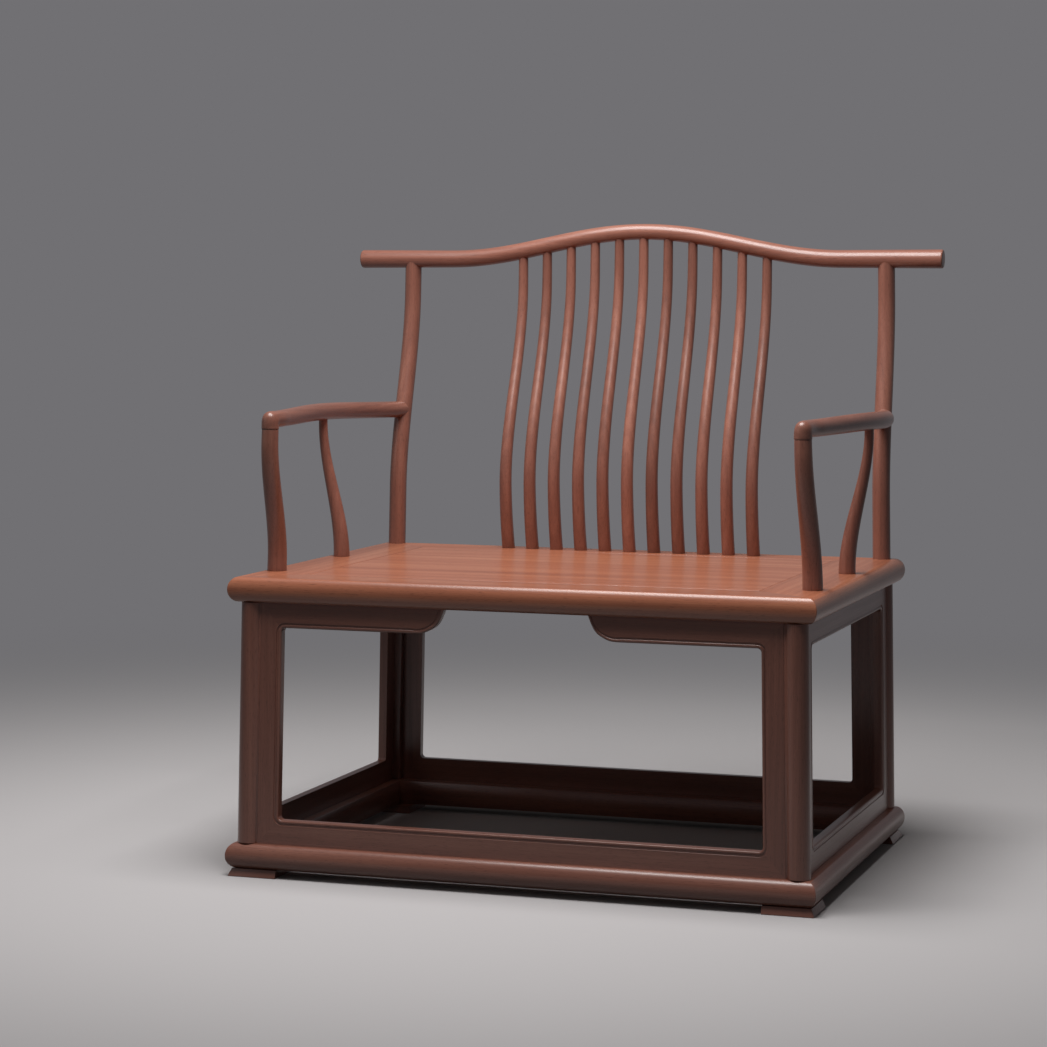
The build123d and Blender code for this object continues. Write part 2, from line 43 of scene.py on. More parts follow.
# Lengths in the pieces' dictionaries are millimetres; +X is the viewer's right, -Y the front.
# Along a bar, t runs from 0 at its lower, front or left end to 1 at the other.
mm = 0.001
seatMiddle = (0, -20.2, 0)     # the shapes are worked out over the middle of the seat, which lies here

camera = {
    "place": (1.26002, -4.08938, 0.84099),      # metres
    "turn": 0.3194,            # radians to the left of straight ahead
    "tilt": 0.0812,            # radians downward
    "roll": 0.0032,
    "lens": 99.79,
    "sensor": 36.0,
    "near": 0.1,
    "far": 100.0,
}


def aimCamera(c=camera):
    ahead = Vector((-sin(c["turn"]) * cos(c["tilt"]), cos(c["turn"]) * cos(c["tilt"]), -sin(c["tilt"])))
    level = Vector((cos(c["turn"]), sin(c["turn"]), 0))
    over = level.cross(ahead)
    right = level * cos(c["roll"]) + over * sin(c["roll"])
    up = over * cos(c["roll"]) - level * sin(c["roll"])
    data = bpy.data.cameras.new("camera")
    data.lens, data.sensor_width = c["lens"], c["sensor"]
    data.clip_start, data.clip_end = c["near"], c["far"]
    eye = bpy.data.objects.new("camera", data)
    bpy.context.scene.collection.objects.link(eye)
    turned = Matrix((right, up, -ahead)).transposed().to_4x4()
    eye.matrix_world = Matrix.Translation(c["place"]) @ turned
    bpy.context.scene.camera = eye


aimCamera()
print("camera aimed")


def colour(hexCode, tone=1.0):
    # sRGB hex to linear, times tone: the lower part is straight, the rest is a power of 2.4
    channels = [int(hexCode[i:i + 2], 16) / 255 for i in (1, 3, 5)]
    linear = [v / 12.92 if v <= 0.04045 else ((v + 0.055) / 1.055) ** 2.4 for v in channels]
    return [v * tone for v in linear] + [1.0]


def addNode(tree, kind, inputs, **settings):
    node = tree.nodes.new(kind)
    for name, value in settings.items():
        setattr(node, name, value)
    for key, value in inputs.items():
        if isinstance(value, bpy.types.NodeSocket):
            tree.links.new(value, node.inputs[key])
        else:
            node.inputs[key].default_value = value
    return node


wood = {
    "dark": "#694135",
    "middle": "#925D4D",
    "light": "#B27966",
    "pore": "#452820",
    "darkAt": 0.18,            # how high the grain value is where each colour is reached
    "middleAt": 0.52,
    "lightAt": 0.88,
    "ringSpacing": 9.0,        # growth rings
    "figureLength": 320.0,     # how far a wave in the rings runs along the grain
    "ringShare": 0.08,
    "bandWidth": 34.0,         # slow change of tone across the board
    "bandLength": 520.0,
    "bandShare": 0.62,
    "bandShift": 30.0,         # how much further than the rings the bands move from piece to piece
    "fibreWidth": 1.6,         # fibre streaks
    "fibreLength": 110.0,
    "fibreShare": 0.34,
    "poreWidth": 0.8,          # pores, drawn about three times as wide as they are
    "poreLength": 10.0,
    "poreOpens": 0.60,         # noise values between which a pore opens
    "poreFull": 0.72,
    "poreShare": 0.40,
    "poreDepth": 0.8,          # beside the fibres' height of 1
    "bumpStrength": 0.12,
    "bumpDistance": 0.0004,    # metres
    "roughnessDark": 0.39,     # darker grain is a little rougher than light grain
    "roughnessLight": 0.30,
    "waxWeight": 0.3,
    "waxRoughness": 0.19,
    "shiftRange": (-0.02, 0.14),     # metres, how far a piece's figure lies from the heart of the log
    "toneRange": (0.80, 1.04),
}
# lighter, more orange wood for the seat: partly the boards' own tone, partly painted light of its lit top
seatWoodToneAndPaintedLight = {
    **wood,
    "dark": "#844B35",
    "middle": "#AD684B",
    "light": "#CC8764",
    "pore": "#562D1E",
}
wavePeriod = 0.314             # a wave texture of scale 1 repeats after this many metres


def stretch(axis, along, across):
    # repeats per metre: few along the grain, many across it
    scale = [1 / (across * mm)] * 3
    scale["XYZ".index(axis)] = 1 / (along * mm)
    return scale


def rosewood(name, axis, shift, tone, w):
    # Rosewood, planed, scraped and waxed: fine fibre lines over slow reddish bands, a satin skin.
    # grain = ring share * rings + band share * bands + fibre share * fibres; colour and sheen follow it
    material = bpy.data.materials.new(name)
    material.use_nodes = True
    tree = material.node_tree
    tree.nodes.clear()
    place = addNode(tree, "ShaderNodeTexCoord", {}).outputs["Object"]
    figure = addNode(tree, "ShaderNodeMapping", {
        "Vector": place, "Location": shift,
        "Scale": [w["ringSpacing"] / w["figureLength"] if a == axis else 1.0 for a in "XYZ"]})
    rings = addNode(tree, "ShaderNodeTexWave", {
        "Vector": figure.outputs[0], "Scale": wavePeriod / (w["ringSpacing"] * mm), "Distortion": 4.0,
        "Detail": 2.0, "Detail Scale": 0.6, "Detail Roughness": 0.5},
        wave_type="RINGS", rings_direction=axis, wave_profile="SIN")
    streaks = {}
    for kind, moved, detail, rough in (("band", [v * w["bandShift"] for v in shift], 2.0, 0.5),
                                       ("fibre", (0, 0, 0), 3.0, 0.6),
                                       ("pore", (0, 0, 0), 1.0, 0.4)):
        spot = addNode(tree, "ShaderNodeMapping", {
            "Vector": place, "Location": moved,
            "Scale": stretch(axis, w[kind + "Length"], w[kind + "Width"])})
        noise = addNode(tree, "ShaderNodeTexNoise", {
            "Vector": spot.outputs[0], "Scale": 1.0, "Detail": detail, "Roughness": rough})
        streaks[kind] = noise.outputs["Fac"]
    poreMask = addNode(tree, "ShaderNodeMapRange", {
        "Value": streaks["pore"], "From Min": w["poreOpens"], "From Max": w["poreFull"],
        "To Min": 0.0, "To Max": 1.0})

    ringPart = addNode(tree, "ShaderNodeMath", {
        0: rings.outputs["Fac"], 1: w["ringShare"]}, operation="MULTIPLY")
    bandPart = addNode(tree, "ShaderNodeMath", {
        0: streaks["band"], 1: w["bandShare"], 2: ringPart.outputs[0]}, operation="MULTIPLY_ADD")
    grain = addNode(tree, "ShaderNodeMath", {
        0: streaks["fibre"], 1: w["fibreShare"], 2: bandPart.outputs[0]}, operation="MULTIPLY_ADD")
    ramp = addNode(tree, "ShaderNodeValToRGB", {"Fac": grain.outputs[0]})
    stops = ramp.color_ramp.elements
    stops[0].position, stops[0].color = w["darkAt"], colour(w["dark"], tone)
    stops[1].position, stops[1].color = w["lightAt"], colour(w["light"], tone)
    stops.new(w["middleAt"]).color = colour(w["middle"], tone)
    poreAmount = addNode(tree, "ShaderNodeMath", {
        0: poreMask.outputs[0], 1: w["poreShare"]}, operation="MULTIPLY")
    skin = addNode(tree, "ShaderNodeMix", {
        0: poreAmount.outputs[0], 6: ramp.outputs["Color"], 7: colour(w["pore"])}, data_type="RGBA")

    sheen = addNode(tree, "ShaderNodeMapRange", {
        "Value": grain.outputs[0], "From Min": 0.3, "From Max": 0.8,
        "To Min": w["roughnessDark"], "To Max": w["roughnessLight"]})
    height = addNode(tree, "ShaderNodeMath", {
        0: poreMask.outputs[0], 1: -w["poreDepth"], 2: streaks["fibre"]}, operation="MULTIPLY_ADD")
    bump = addNode(tree, "ShaderNodeBump", {
        "Height": height.outputs[0], "Strength": w["bumpStrength"], "Distance": w["bumpDistance"]})
    shader = addNode(tree, "ShaderNodeBsdfPrincipled", {
        "Base Color": skin.outputs[2], "Roughness": sheen.outputs[0], "Normal": bump.outputs[0],
        "IOR": 1.5, "Coat Weight": w["waxWeight"], "Coat Roughness": w["waxRoughness"]})
    addNode(tree, "ShaderNodeOutputMaterial", {"Surface": shader.outputs[0]})
    return material


boardNumber = itertools.count(4101)


def nextWood(name, axis, tone=None, w=wood):
    # each piece is cut from another place in the log: its figure is moved and its tone differs a little
    chance = np.random.default_rng(next(boardNumber))
    shift = chance.uniform(*w["shiftRange"], 3).tolist()
    if tone is None:
        tone = float(chance.uniform(*w["toneRange"]))
    return rosewood("rosewood " + name, axis, shift, tone, w)


sharpAngle = radians(32)       # edges that bend more than this stay sharp
cornerPoints = 5               # points around a small rounded corner
sides = (("Right", 1), ("Left", -1))


def addPiece(name, shape, material, *nodes):
    points, faces = shape
    mesh = bpy.data.meshes.new(name)
    mesh.from_pydata(((points + seatMiddle) * mm).tolist(), [], faces)
    mesh.calc_loop_triangles()
    corners = np.array([t.vertices[:] for t in mesh.loop_triangles])
    a, b, c = (points[corners[:, i]] for i in range(3))
    if np.sum(a * np.cross(b, c)) < 0:       # six times the volume: negative means inside out
        mesh.flip_normals()
    mesh.shade_smooth()
    mesh.set_sharp_from_angle(angle=sharpAngle)
    mesh.materials.append(material)
    piece = bpy.data.objects.new(name, mesh)
    bpy.context.scene.collection.objects.link(piece)
    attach(piece, "root")
    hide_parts(*nodes)


def joined(*shapes):
    # several closed shapes in one mesh: the points follow each other and the face numbers move up
    points, faces = [], []
    for shapePoints, shapeFaces in shapes:
        start = sum(len(p) for p in points)
        points.append(shapePoints)
        faces += [[start + v for v in face] for face in shapeFaces]
    return np.concatenate(points), faces


def mirrored(shape, x=1, y=1):
    return shape[0] * [x, y, 1], shape[1]


def closedRings(rings):
    # rings * around * 3 points: a quad between neighbours, and one flat face at each end
    here = np.arange(rings.shape[0] * rings.shape[1]).reshape(rings.shape[:2])
    ahead = np.roll(here, -1, axis=1)
    quads = np.stack([here[:-1], ahead[:-1], ahead[1:], here[1:]], axis=-1).reshape(-1, 4)
    return rings.reshape(-1, 3), [*quads.tolist(), here[0, ::-1].tolist(), here[-1].tolist()]


def columns(x, y, z):
    return np.stack(np.broadcast_arrays(x, y, z), axis=-1).astype(float)


def unit(v):
    return v / np.linalg.norm(v, axis=-1, keepdims=True)


def ease(t, start, end):
    # smooth step: u = share of the way from start to end, value = u * u * (3 - 2 * u)
    u = np.clip((t - start) / (end - start), 0, 1)
    return u * u * (3 - 2 * u)


def arc(start, end, count):
    # part of a circle of radius 1: (cos turn, sin turn)
    turn = np.linspace(start, end, count)
    return np.stack([np.cos(turn), np.sin(turn)], axis=1)


def hoops(centre, across, over, around):
    # a ring of points at each centre: centre + cos turn * across + sin turn * over
    turn = np.linspace(0, 2 * pi, around, endpoint=False)[None, :, None]
    return centre[:, None] + np.cos(turn) * across[:, None] + np.sin(turn) * over[:, None]


def roundedEnd(radius, count=6):
    # a quarter circle: how far each ring lies from the end, and how much radius the bar has lost there
    angle = np.linspace(0, pi / 2, count) if radius else np.array([pi / 2])
    return radius * (1 - np.cos(angle)), radius * (1 - np.sin(angle))


def barRings(b, path, radius, side, low=0.0):
    # centre = path(t) from t = low to 1, with rings closer together at the rounded ends; over is square to
    # the centre line and to side, and across to the centre line and over. b gives the roundings, about the
    # length along the curve, and the numbers of rings and of points around
    startReach, startLoss = roundedEnd(b["startRound"])
    endReach, endLoss = roundedEnd(b["endRound"])
    perMillimetre = (1 - low) / b["length"]
    startT, endT = low + startReach * perMillimetre, 1 - endReach * perMillimetre
    middle = np.linspace(startT[-1], endT[-1], b["rings"])[1:-1]
    t = np.concatenate([startT, middle, endT[::-1]])
    loss = np.concatenate([startLoss, np.zeros(len(middle)), endLoss[::-1]])
    nudge = 0.0005
    ahead = path(t + nudge) - path(t - nudge)
    over = unit(np.cross(ahead, side))
    across = unit(np.cross(over, ahead))
    size = (radius(t) - loss)[:, None]
    return hoops(path(t), across * size, over * size, b["around"])


def roundBar(b, path, radius, side, low=0.0):
    return closedRings(barRings(b, path, radius, side, low))


# the two mitred frames: the posts and spindles stand on the seat, the legs on the base
seat = {
    "halfWidth": 427.0,
    "halfDepth": 309.0,
    "top": 430.0,
    "thickness": 36.0,
    "sideRail": 96.0,          # widths of the rails
    "longRail": 74.0,
    "nose": 11.0,              # how far the rounded edge of a long rail reaches in
    "seam": 0.35,              # how deep the line of a mitre is sunk
    "seamSlope": 0.7,          # how far from the mitre that starts
    "soften": 0.6,             # of the inner edges
    "tone": 0.96,
}
base = {
    "halfWidth": 431.0,
    "halfDepth": 313.0,
    "top": 48.0,
    "thickness": 37.0,
    "sideRail": 50.0,
    "longRail": 50.0,
    "nose": 14.0,
    "seam": 0.3,
    "seamSlope": 0.7,
    "soften": 0.6,
    "tone": 1.0,
}
crest = {
    "length": 947.54,
    "archHalf": 318.0,         # half the length of the hump
    "rise": 42.5,
    "endHeight": 886.0,
    "y": 339.0,
    "radiusMiddle": 12.2,
    "radiusEnd": 14.4,
    "startRound": 2.6,
    "endRound": 2.6,
    "rings": 120,
    "around": 56,
    "tone": 0.96,
}
backHeight = crest["endHeight"] - seat["top"]


def crestHeight(x, c=crest):
    # level ends and a cosine arch between them: end height + rise * (1 + cos(pi * reach)) / 2
    reach = np.minimum(np.abs(x) / c["archHalf"], 1)
    return c["endHeight"] + c["rise"] * (1 + np.cos(pi * reach)) / 2


def crestPath(t, c=crest):
    x = c["length"] * (t - 0.5)
    return columns(x, c["y"], crestHeight(x))


def crestRadius(t, c=crest):
    # grows evenly from the middle to both ends
    return c["radiusMiddle"] + (c["radiusEnd"] - c["radiusMiddle"]) * np.abs(2 * t - 1)


addPiece("crestRail", roundBar(crest, crestPath, crestRadius, (0, 1, 0)),
         nextWood("crest rail", "X", crest["tone"]), "crest_rail")
print("crest rail made")

spindles = {
    "count": 11,
    "pitch": 39.8,
    "y": 268.0,
    "belly": 17.0,             # how far they come forward to the small of the back
    "bellySkew": 0.55,         # below 1 brings the belly's deepest place down
    "bellySharpness": 1.9,
    "radiusFoot": 10.2,
    "radiusTop": 7.4,
    "length": 456.0,
    "startRound": 0.5,
    "endRound": 0.5,
    "rings": 56,
    "around": 32,
}
rakes = (0.20, 0.88)           # the posts and spindles lean back between these shares of their height


def spindleBar(x, s=spindles):
    # side view: y = foot + rake - belly * sin(pi * t to the skew) to the sharpness
    def path(t):
        rake = (crest["y"] - s["y"]) * ease(t, *rakes)
        belly = s["belly"] * np.sin(pi * np.clip(t, 0, 1) ** s["bellySkew"]) ** s["bellySharpness"]
        return columns(x, s["y"] + rake - belly, seat["top"] + (crestHeight(x) - seat["top"]) * t)

    def radius(t):
        return s["radiusFoot"] + (s["radiusTop"] - s["radiusFoot"]) * t

    return roundBar(s, path, radius, (1, 0, 0))


for number in range(1, spindles["count"] + 1):
    x = spindles["pitch"] * (number - (spindles["count"] + 1) / 2)
    addPiece(f"backSpindle{number:02d}", spindleBar(x), nextWood(f"spindle {number}", "Z"),
             f"back_spindle_{number:02d}")
print("spindles made")

legs = {
    "x": 402.5,                # middle of a leg where it stands on the base
    "y": 290.0,
    "splayX": 7.0,             # how much nearer to the middle its top is
    "splayY": 3.0,
    "radius": 16.5,
    "square": 9.5,             # from the leg's middle out to its flats and the boards' faces
    "shoulder": 0.3,           # softened step from the round to the square
    "cornerRound": 1.2,
    "endRound": 0.5,
    "around": 34,              # points on the round part
    "frontTone": 0.84,
    "rearTone": 0.88,
}
rearPost = {
    "leanX": 9.0,              # how much nearer to the middle its top is
    "radiusSeat": 13.6,
    "radiusCrest": 13.0,
    "start": -0.07,            # below 0: it begins inside the seat rail
    "length": 500.0,
    "startRound": 0.4,
    "endRound": 0.4,
    "rings": 72,
    "around": 44,
}
legHeight = seat["top"] - seat["thickness"] - base["top"]


def legCentre(z, g=legs):
    # a straight line that leans toward the middle of the chair
    share = (z - base["top"]) / legHeight
    return columns(g["x"] - g["splayX"] * share, g["y"] - g["splayY"] * share, z)


def legShaft(g=legs):
    # section: round outside, and square toward the seat's middle, where the boards meet it flush
    start = np.arcsin(g["square"] / g["radius"])
    outside = arc(pi / 2 + start, 2 * pi - start, g["around"]) * g["radius"]
    inside = g["radius"] - g["cornerRound"] + arc(0, pi / 2, cornerPoints) * g["cornerRound"]
    shoulder = np.array([[g["radius"] - g["shoulder"], -g["square"]],
                         [g["radius"], g["shoulder"] - g["square"]]])
    section = np.concatenate([outside, shoulder, inside, shoulder[::-1, ::-1]])
    z = base["top"] + np.array([0, g["endRound"], legHeight / 2, legHeight - g["endRound"], legHeight])
    scale = 1 - np.array([g["endRound"], 0, 0, 0, g["endRound"]]) / g["radius"]
    flat = legCentre(z)[:, None, :2] - section * scale[:, None, None]
    return closedRings(columns(flat[..., 0], flat[..., 1], z[:, None]))


seatCentre = legCentre(np.array([seat["top"]]))[0]


def postPath(t, p=rearPost):
    # right rear post: straight up out of the leg, then back to the crest rail by a smooth step
    z = seat["top"] + backHeight * t
    rake = (crest["y"] - seatCentre[1]) * ease(t, *rakes)
    bent = columns(seatCentre[0] - p["leanX"] * t, seatCentre[1] + rake, z)
    return np.where((t <= 0)[:, None], legCentre(z), bent)


def postRadius(t, p=rearPost):
    return p["radiusSeat"] + (p["radiusCrest"] - p["radiusSeat"]) * np.clip(t, 0, None)


rearLeg = joined(legShaft(), roundBar(rearPost, postPath, postRadius, (1, 0, 0), rearPost["start"]))
for side, x in sides:
    addPiece("frontLeg" + side, mirrored(legShaft(), x, -1),
             nextWood("front leg " + side, "Z", legs["frontTone"]), "front_leg_" + side.lower())
    addPiece("rearLeg" + side, mirrored(rearLeg, x),
             nextWood("rear leg " + side, "Z", legs["rearTone"]), "rear_leg_" + side.lower())
print("legs made")

arm = {
    "height": 651.0,           # of the centre line at the elbow
    "fall": 6.0,               # how much lower it meets the rear post
    "crown": 3.0,
    "bow": 34.0,
    "bowSkew": 1.35,           # above 1 brings the widest place toward the rear
    "bowStarts": 0.12,
    "radius": 12.9,
    "frontRadius": 12.0,
    "swell": 0.35,             # share of its length over which it grows from one radius to the other
    "capRadius": 12.6,
    "capDrop": 13.5,           # from the arm's centre line down to the mouth of the bowl
    "capSquareness": 4.5,
    "capSections": 13,
    "mouthRound": 0.9,
    "mouthIn": (1, 0.3, 0),    # shares of that rounding at the mouth's rings: inward and upward
    "mouthUp": (0, 0.25, 1),
    "length": 530.0,
    "startRound": 0,
    "endRound": 0.4,
    "rings": 96,
    "around": 44,
    "tone": 0.84,
}
frontPost = {
    "x": 396.7,
    "y": -199.0,
    "reach": 39.0,             # how far forward it swings
    "leanX": 7.0,
    "bend": (0.08, 0.92),      # shares of its height between which it swings
    "radius": 14.2,
    "length": 215.0,
    "startRound": 0.5,
    "endRound": 0.8,
    "rings": 44,
    "around": 40,
}
sidePost = {
    "x": 393.0,
    "y": 43.0,
    "bend": (0.02, 0.92),
    "radiusFoot": 12.8,
    "radiusTop": 6.6,
    "taper": (-0.2, 1.0),
    "length": 220.0,
    "startRound": 0.5,
    "endRound": 0.4,
    "rings": 44,
    "around": 36,
}

armRear = postPath(np.array([(arm["height"] - arm["fall"] - seat["top"]) / backHeight]))[0]
elbow = np.array([frontPost["x"] - frontPost["leanX"],
                  frontPost["y"] - frontPost["reach"], arm["height"]])
elbowHeading = unit((armRear - elbow) * [1, 1, 0])
elbowEnd = arm["capDrop"] / np.linalg.norm(armRear - elbow)


def armPath(t, a=arm):
    # straight from elbow to rear post + bow * sin(pi * t to the skew) outward + a low cosine crown upward
    bow = a["bow"] * np.sin(pi * np.clip(t, 0, None) ** a["bowSkew"]) * ease(t, elbowEnd, a["bowStarts"])
    crown = a["crown"] * (1 - np.cos(2 * pi * t)) / 2
    return elbow + (armRear - elbow) * t[:, None] + columns(bow, 0, crown)


def armRadius(t, a=arm):
    return a["frontRadius"] + (a["radius"] - a["frontRadius"]) * ease(t, 0, a["swell"])


def elbowRings(a=arm):
    # sections turned about the inner crease, from the mouth over the front post round to the arm;
    # near = drop - radius, and far is a squared circle:
    # (drop + radius) / (cos to the n + sin to the n) to the 1/n
    bends = np.linspace(0, pi / 2, a["capSections"] + 2)[1:-1]
    angle = np.concatenate([np.zeros(len(a["mouthIn"])), bends])[:, None]
    sunk, lift = (np.concatenate([share, np.zeros(len(bends))])[:, None] * a["mouthRound"]
                  for share in (a["mouthIn"], a["mouthUp"]))
    up = np.array([0, 0, 1.0])
    outward = np.sin(angle) * up - np.cos(angle) * elbowHeading
    radius = a["capRadius"] + (a["frontRadius"] - a["capRadius"]) * angle / (pi / 2)
    n = a["capSquareness"]
    far = (a["capDrop"] + radius) / (np.cos(angle) ** n + np.sin(angle) ** n) ** (1 / n)
    near = a["capDrop"] - radius
    pivot = elbow + (elbowHeading - up) * a["capDrop"]
    centre = pivot + outward * (near + far) / 2 + up * lift
    return hoops(centre, np.cross(elbowHeading, up) * (radius - sunk),
                 -outward * ((far - near) / 2 - sunk), a["around"])


def frontPostPath(t, p=frontPost):
    # leans evenly toward the middle, and swings forward by a smooth step
    z = seat["top"] + (elbow[2] - arm["capDrop"] - seat["top"]) * t
    return columns(p["x"] - p["leanX"] * t, p["y"] - p["reach"] * ease(t, *p["bend"]), z)


def frontPostRadius(t, p=frontPost):
    return p["radius"] + (arm["frontRadius"] - p["radius"]) * t


sideTop = armPath(np.array([(sidePost["y"] - elbow[1]) / (armRear[1] - elbow[1])]))[0]


def sidePostPath(t, p=sidePost):
    # swings outward by a smooth step until it is under the bowed arm
    z = seat["top"] + (sideTop[2] - seat["top"]) * t
    return columns(p["x"] + (sideTop[0] - p["x"]) * ease(t, *p["bend"]), p["y"], z)


def sidePostRadius(t, p=sidePost):
    return p["radiusFoot"] + (p["radiusTop"] - p["radiusFoot"]) * ease(t, *p["taper"])


# the mouth of the bowl keeps a fine quirk line against the post below it
armRings = barRings(arm, armPath, armRadius, (1, 0, 0), elbowEnd)
armBar = closedRings(np.concatenate([elbowRings(), armRings]))
frontPostBar = roundBar(frontPost, frontPostPath, frontPostRadius, (1, 0, 0))
sidePostBar = roundBar(sidePost, sidePostPath, sidePostRadius, (0, 1, 0))
for side, x in sides:
    addPiece("arm" + side, mirrored(armBar, x), nextWood("arm " + side, "Y", arm["tone"]),
             "arm_" + side.lower())
    addPiece("armFrontPost" + side, mirrored(frontPostBar, x), nextWood("front post " + side, "Z"),
             "arm_front_post_" + side.lower())
    addPiece("armSidePost" + side, mirrored(sidePostBar, x), nextWood("side post " + side, "Z"),
             "arm_side_post_" + side.lower())
print("arms made")


nosePoints = 25                # around the rounded outer edge of a rail


def mitredRail(f, outer, width, halfLength, endWidth):
    # profile: half an ellipse on the outer edge, flat above and below, softened inner edges; it runs along
    # the rail to both mitres, which lie at half length - distance inward * end width / width
    nose = f["nose"] * width / f["longRail"]
    half, soft = f["thickness"] / 2, f["soften"]
    ellipse = [nose, 0] + arc(pi / 2, -pi / 2, nosePoints) * [-nose, half]
    inner = np.array([[width - soft, -half], [width, soft - half],
                      [width, half - soft], [width - soft, half]])
    profile = np.concatenate([ellipse, inner])                         # distance inward, height
    sunk = profile + unit([width / 2, 0] - profile) * f["seam"]        # the profile within the seam
    rings = []
    for end, shape, back in ((-1, sunk, 0), (-1, profile, f["seamSlope"]),
                             (1, profile, f["seamSlope"]), (1, sunk, 0)):
        along = end * (halfLength - shape[:, 0] * endWidth / width - back)
        rings.append(columns(outer - shape[:, 0], along, f["top"] - half + shape[:, 1]))
    return closedRings(np.stack(rings))


def turnedToX(shape):
    # a rail along Y on the right becomes one along X at the back
    return shape[0][:, [1, 0, 2]], shape[1]


# the seat's rails take the lighter seat wood, which holds painted light of the lit seat top
for prefix, f, w in (("seat", seat, seatWoodToneAndPaintedLight), ("base", base, wood)):
    sideRail = mitredRail(f, f["halfWidth"], f["sideRail"], f["halfDepth"], f["longRail"])
    longRail = turnedToX(mitredRail(f, f["halfDepth"], f["longRail"], f["halfWidth"], f["sideRail"]))
    for end, shape, axis in (("Right", sideRail, "Y"), ("Left", mirrored(sideRail, -1), "Y"),
                             ("Rear", longRail, "X"), ("Front", mirrored(longRail, 1, -1), "X")):
        material = nextWood(f"{prefix} rail {end.lower()}", axis, f["tone"], w)
        addPiece(f"{prefix}Rail{end}", shape, material, f"{prefix}_rail_{end.lower()}")
print("rails made")

# boards between the legs, in the legs' leaning planes
lining = {
    "thickness": 14.0,
    "width": 31.0,             # of the upright strips
    "bottom": 35.0,            # of the bottom strip, and of the apron
    "top": 35.5,
    "cornerRound": 6.0,        # of the opening
    "straightPoints": 3,       # between two rounded corners
    "bead": 5.5,
    "beadPoints": 9,
    "groove": 2.0,
    "grooveDepth": 1.2,
    "arris": (0.25, 0.2),      # width and depth of the softened arris beside the groove
    "joint": 0.15,             # clearance to the leg
    "tone": 0.84,
}
apron = {
    # outline of the right half's curled end: across and up in the plane of the frame
    "curl": [(152.0, 310.5), (146.5, 310.6), (138.0, 311.3), (130.5, 313.7), (124.0, 317.0),
             (118.4, 320.8), (113.6, 326.3), (110.4, 331.8), (107.4, 338.6), (105.6, 343.0),
             (104.6, 346.0)],
    "straightPoints": 4,       # between the rounded corner and the curl
    "beadOnCurl": 0.9,
    "narrowing": (8, 14),      # points of the outline between which the bead narrows to that share
    "averaged": 9,             # neighbours over which the direction across the bead is averaged
    "levelled": 8,             # last points, over which that direction turns level
    "margin": 1.0,             # of flat board beyond the moulding at the tip
}


def smoothLine(points, each=6):
    # Catmull-Rom curve: each span mixes its four nearest points by cubic weights
    p = np.asarray(points)
    p = np.concatenate([2 * p[:1] - p[1:2], p, 2 * p[-1:] - p[-2:-1]])
    u = np.linspace(0, 1, each, endpoint=False)[None, :, None]
    a, b, c, d = (p[i:len(p) - 3 + i, None] for i in range(4))
    span = 0.5 * (2 * b + (c - a) * u + (2 * a - 5 * b + 4 * c - d) * u ** 2
                  + (3 * b - a - 3 * c + d) * u ** 3)
    return np.concatenate([span.reshape(-1, 2), p[-2:-1]])


def halfFillet(before, corner, after, radius):
    # the second half of a rounded corner, from its middle to where the straight edge starts:
    # point = centre + radius * ray, the ray turning from the corner's middle line to the edge's normal
    d0, d1 = unit(corner - before), unit(after - corner)
    bend = np.arccos(np.clip(d0 @ d1, -1, 1))
    middle = unit(d1 - d0)
    centre = corner + middle * radius / np.cos(bend / 2)
    tangent = corner + d1 * radius * np.tan(bend / 2) - centre
    u = np.linspace(0, 1, cornerPoints)[:, None]
    ray = unit(-middle * radius * (1 - u) + tangent * u)
    return centre + ray * radius, ray


def boardEdge(opening, i, m=lining):
    # edge i of the opening, from the middle of one rounded corner to the middle of the next, and the
    # direction away from the opening at each of its points
    before, a, b, after = (opening[(i + k) % 4] for k in (-1, 0, 1, 2))
    start, startRay = halfFillet(before, a, b, m["cornerRound"])
    end, endRay = halfFillet(after, b, a, m["cornerRound"])
    straight = np.linspace(start[-1], end[-1], m["straightPoints"] + 2)[1:-1]
    straightRay = np.repeat(startRay[-1:], len(straight), axis=0)
    return (np.concatenate([start, straight, end[::-1]]),
            np.concatenate([startRay, straightRay, endRay[::-1]]))


def mouldedBoard(edge, outward, outer, place, beadShare=1.0, m=lining):
    # point = edge + outward * profile's distance, as deep behind the face as the profile, which runs from
    # the back, round the bead and through the groove; the flat beyond it and the back are one face each
    r = m["bead"] / 2
    reach = m["bead"] + m["groove"]
    arrisWidth, arrisDepth = m["arris"]
    bead = r + arc(pi, np.arcsin(1 - m["grooveDepth"] / r), m["beadPoints"]) * [r, -r]
    profile = np.concatenate([[[0, m["thickness"]]], bead, [
        [reach - arrisDepth, m["grooveDepth"]], [reach, arrisDepth], [reach + arrisWidth, 0]]])
    offset = profile[:, 0] * np.broadcast_to(beadShare, len(edge))[:, None]
    flat = edge[:, None] + outward[:, None] * offset[..., None]
    depth = np.broadcast_to(legs["square"] - profile[:, 1], offset.shape)
    points = np.concatenate([place(flat.reshape(-1, 2), depth.reshape(-1)),
                             place(outer, np.full(len(outer), legs["square"])),
                             place(outer, np.full(len(outer), legs["square"] - m["thickness"]))])

    grid = np.arange(offset.size).reshape(offset.shape)
    front = offset.size + np.arange(len(outer))
    back = front + len(outer)
    quads = np.stack([grid[:-1, :-1], grid[:-1, 1:], grid[1:, 1:], grid[1:, :-1]], axis=-1).reshape(-1, 4)
    rim = np.stack([front[1:], front[:-1], back[:-1], back[1:]], axis=-1)
    faces = [*quads, np.hstack([grid[::-1, -1], front]), np.hstack([grid[:, 0], back[::-1]]), *rim,
             np.hstack([grid[0, ::-1], back[0], front[0]]), np.hstack([grid[-1], front[-1], back[-1]])]
    return points, [face.tolist() for face in faces]


